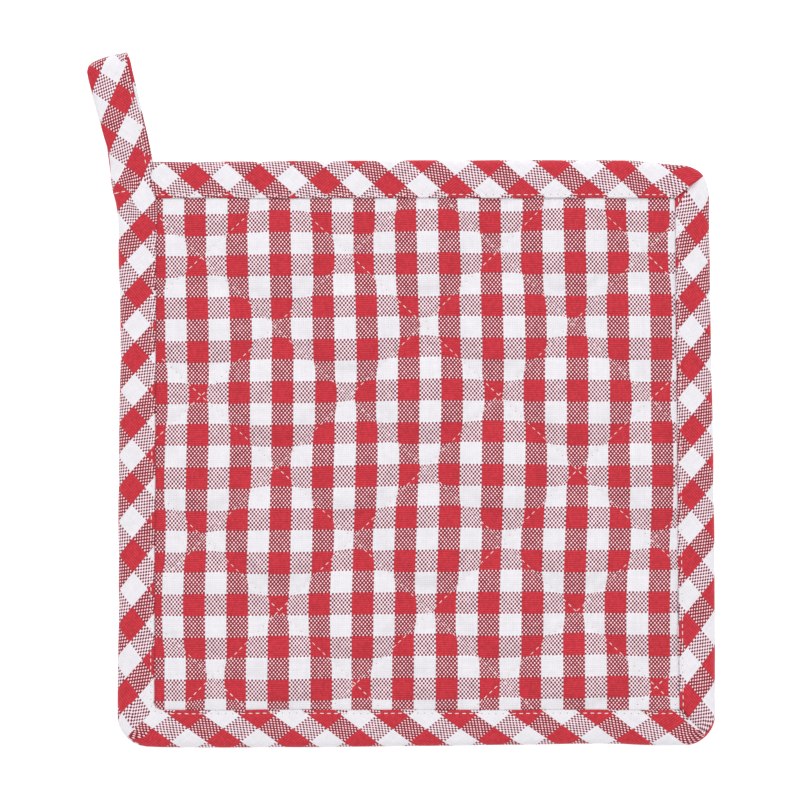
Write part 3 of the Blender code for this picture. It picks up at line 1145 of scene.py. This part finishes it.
def checked_weave():
    """Plain weave in two yarn colours, with painted highlights on the yarn crowns and painted shade on the
    red yarns. The warp covers more; the weft shows as dots between it.
    """
    dyes = (("Red yarn", RED_YARN), ("White yarn", WHITE_YARN), ("Shaded red", SHADED_RED),
            ("Dark red dot", SHADED_RED_DOT), ("Blush dot", BLUSH_DOT), ("Pale ground", PALE_GROUND))
    sockets = [("Repeats", "Vector")] + [(name, "Color", (*colour, 1.0)) for name, colour in dyes]
    tree, web, given, out = group_tree(
        "checked plain weave", sockets, (("Color", "Color"), ("Height", "Float")))
    split = web.node("ShaderNodeSeparateXYZ", {"Vector": given["Repeats"]})
    thread, offset, stripe = [], [], []
    for axis, threads in (("X", WARP_THREADS), ("Y", WEFT_THREADS)):
        count = web.math("MULTIPLY", split.outputs[axis], float(threads))
        number = web.math("FLOOR", count)
        thread.append(number)
        offset.append(web.math("SUBTRACT", web.math("SUBTRACT", count, number), 0.5))
        place = web.math("MULTIPLY_ADD", number, 1.0 / threads, 0.5 + 0.5 / threads)
        place = web.math("FRACT", place)
        away = web.math("ABSOLUTE", web.math("SUBTRACT", place, 0.5))
        stripe.append(web.math("LESS_THAN", away, 0.25))
    parity = web.math("FLOORED_MODULO", web.math("ADD", *thread), 2.0)
    weft_on_top = web.math("GREATER_THAN", parity, 0.5)
    sign = web.math("MULTIPLY_ADD", weft_on_top, 2.0, -1.0)
    bulge = [web.math("COSINE", web.math("MULTIPLY", place, math.pi)) for place in offset]
    float_shape = web.math("MULTIPLY", web.math("MULTIPLY", *bulge), sign)

    shaped = web.math("ADD", float_shape, web.spread(web.chance(*thread), SLACK))
    mixed = web.math("ABSOLUTE", web.math("SUBTRACT", *stripe))

    # Where a red stripe crosses a white one, the red yarns get painted shade, as if lying low in the weave,
    # and white yarn takes up some red.
    yarns = []
    for place, red, white in zip(stripe, ("Shaded red", "Dark red dot"), ("Pale ground", "Blush dot")):
        dyed = web.mix(mixed, given["Red yarn"], given[red])
        undyed = web.mix(mixed, given["White yarn"], given[white])
        yarns.append(web.mix(place, undyed, dyed))
    dot_of_white = web.ramp(shaped, *WHITE_DOT_EDGE)
    dot_of_red = web.ramp(shaped, *RED_DOT_EDGE)
    dot = web.mix(stripe[0], dot_of_red, dot_of_white)
    colour = web.mix(dot, *yarns)
    height = web.math("ABSOLUTE", float_shape)
    # Painted highlight: yarn crowns are made lighter.
    crown = web.math("MULTIPLY", height, CROWN_HIGHLIGHT)
    warp_tone = web.spread(web.chance(thread[0], 0.0), THREAD_SPREAD)
    weft_tone = web.spread(web.chance(0.0, thread[1]), THREAD_SPREAD)
    tone = web.math("ADD", web.math("ADD", crown, BASE_TONE), web.math("ADD", warp_tone, weft_tone))

    # Red on red gets painted light and shade across each weft rib, darkest between the ribs, and each
    # crossing took the dye a little differently.
    fleck = web.spread(web.chance(thread[1], thread[0]), DYE_SPREAD)
    rib_shade = web.math("MULTIPLY_ADD", bulge[1], *RED_RIB_SHADE)
    red = web.math("MULTIPLY", *stripe)
    tone = web.math("ADD", tone, web.math("MULTIPLY", red, web.math("ADD", fleck, rib_shade)))
    lit = web.toned(colour, web.math("MAXIMUM", tone, 0.0))
    # Checks where red crosses white keep only part of the tone, with its painted highlight and shade.
    share = web.math("MULTIPLY_ADD", mixed, MIXED_TONE - 1.0, 1.0)
    web.join(out["Color"], web.mix(share, colour, lit))
    web.join(out["Height"], height)
    return tree


def slubbed_tone():
    """Makes a colour lighter and darker in small uneven flecks, as slubs and fluff do."""
    sockets = [("Place", "Vector"), ("Color", "Color")] + [(name, "Float") for name in FLECK_SOCKETS]
    tree, web, given, out = group_tree("slubbed tone", sockets, (("Color", "Color"),))
    fleck = web.node("ShaderNodeTexNoise", {
        "Vector": given["Place"], "Scale": given["Fineness"], "Detail": given["Detail"],
        "Roughness": given["Harshness"]})
    off_middle = web.math("SUBTRACT", fleck.outputs["Fac"], 0.5)
    tone = web.math("MULTIPLY_ADD", off_middle, given["Spread"], 1.0)
    web.join(out["Color"], web.toned(given["Color"], tone))
    return tree


def finish_of(name, **finish):
    """A material with its Principled sockets set by name, and its shader."""
    material = bpy.data.materials.new(name)
    material.use_nodes = True
    shader = material.node_tree.nodes["Principled BSDF"]
    for socket, value in finish.items():
        shader.inputs[socket.replace("_", " ")].default_value = value
    return material, shader


def cloth_finish(name, slubs, colour, flecks, **finish):
    """A material of uneven colour, with its web of nodes, its shader and the group that colours it."""
    material, shader = finish_of(name, **finish)
    web = Web(material.node_tree)
    feeds = dict(zip(FLECK_SOCKETS, FLECKS[flecks]), Color=(*colour, 1.0))
    feeds["Place"] = web.node("ShaderNodeTexCoord").outputs["Object"]
    uneven = web.node("ShaderNodeGroup", feeds, node_tree=slubs)
    web.join(shader.inputs["Base Color"], uneven.outputs["Color"])
    return material, web, shader, uneven


def gingham(name, weave, slubs):
    """Woven cotton whose pattern follows the cloth's own UV map, in repeats."""
    material, web, shader, uneven = cloth_finish(
        name, slubs, WHITE_YARN, "gingham",
        Roughness=0.9, Specular_IOR_Level=0.2, Sheen_Weight=0.08, Sheen_Roughness=0.5)
    cloth = web.node("ShaderNodeUVMap", uv_map="cloth")
    woven = web.node("ShaderNodeGroup", {"Repeats": cloth.outputs["UV"]}, node_tree=weave)
    web.join(uneven.inputs["Color"], woven.outputs["Color"])
    bump = web.node("ShaderNodeBump", {
        "Strength": WEAVE_RELIEF, "Distance": WEAVE_DEPTH * MM, "Height": woven.outputs["Height"]})
    web.join(shader.inputs["Normal"], bump.outputs["Normal"])
    return material


# ---- stage ----

VIEW_CENTRE = (-5.4, 18.4)
VIEW_WIDTH = 270.0
CAMERA_HEIGHT = 3000.0
SENSOR = 36.0
LAMPS = (
    # name, place in metres, size, power
    ("key", (-0.1, 1.0, 1.35), 0.9, 11.5),
    ("fill", (0.5, -0.7, 1.5), 1.2, 3.0),
)
WORLD_LIGHT = 0.86
FLOOR_GLOW = 0.4


def floor():
    bpy.ops.mesh.primitive_plane_add(size=6.0, location=(0, 0, -0.0002))
    plane = bpy.context.object
    plane.name = "floor"
    plane.data.materials.append(finish_of(
        "pale floor", Base_Color=(0.95, 0.95, 0.95, 1.0), Roughness=0.9,
        Emission_Color=(1.0, 1.0, 1.0, 1.0), Emission_Strength=FLOOR_GLOW)[0])


def lamp(name, place, size, energy):
    data = bpy.data.lights.new(name, "AREA")
    data.size = size
    data.energy = energy
    light = bpy.data.objects.new(name, data)
    light.location = place
    light.rotation_euler = (-Vector(place)).to_track_quat("-Z", "Y").to_euler()
    bpy.context.scene.collection.objects.link(light)


def studio():
    floor()
    for row in LAMPS:
        lamp(*row)
    world = bpy.data.worlds.new("studio")
    world.use_nodes = True
    sky = world.node_tree.nodes["Background"]
    sky.inputs["Color"].default_value = (1.0, 1.0, 1.0, 1.0)
    sky.inputs["Strength"].default_value = WORLD_LIGHT
    bpy.context.scene.world = world
    bpy.context.scene.view_settings.view_transform = "Standard"


def camera():
    data = bpy.data.cameras.new("camera")
    data.sensor_width = SENSOR
    data.lens = SENSOR * CAMERA_HEIGHT / VIEW_WIDTH
    data.clip_end = 20.0
    eye = bpy.data.objects.new("camera", data)
    eye.location = (VIEW_CENTRE[0] * MM, VIEW_CENTRE[1] * MM, CAMERA_HEIGHT * MM)
    bpy.context.scene.collection.objects.link(eye)
    bpy.context.scene.camera = eye


def main():
    camera()
    studio()
    pad = quilted_pad()
    strip = bias_strip()
    quilting, edging, hole_shades = sewing(pad, strip)
    weave, slubs = checked_weave(), slubbed_tone()
    thread = cloth_finish(
        "white sewing thread", slubs, THREAD_WHITE, "thread", Roughness=0.6, Sheen_Weight=0.2)[0]
    shade = cloth_finish("shade in a needle hole", slubs, HOLE_SHADE_GREY, "hole", Roughness=1.0)[0]
    for piece, finish, slot in (
            (pad, gingham("gingham panel", weave, slubs), "gingham_panel"),
            (strip, gingham("gingham bias strip", weave, slubs), "bias_binding"),
            (quilting, thread, "gingham_panel"),
            (edging, thread, "bias_binding"),
            (hole_shades, shade, "gingham_panel")):
        piece.data.materials.append(finish)
        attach(piece, "root")
    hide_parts("quilted_pad")
    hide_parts("edge_binding", "hanging_loop")


main()
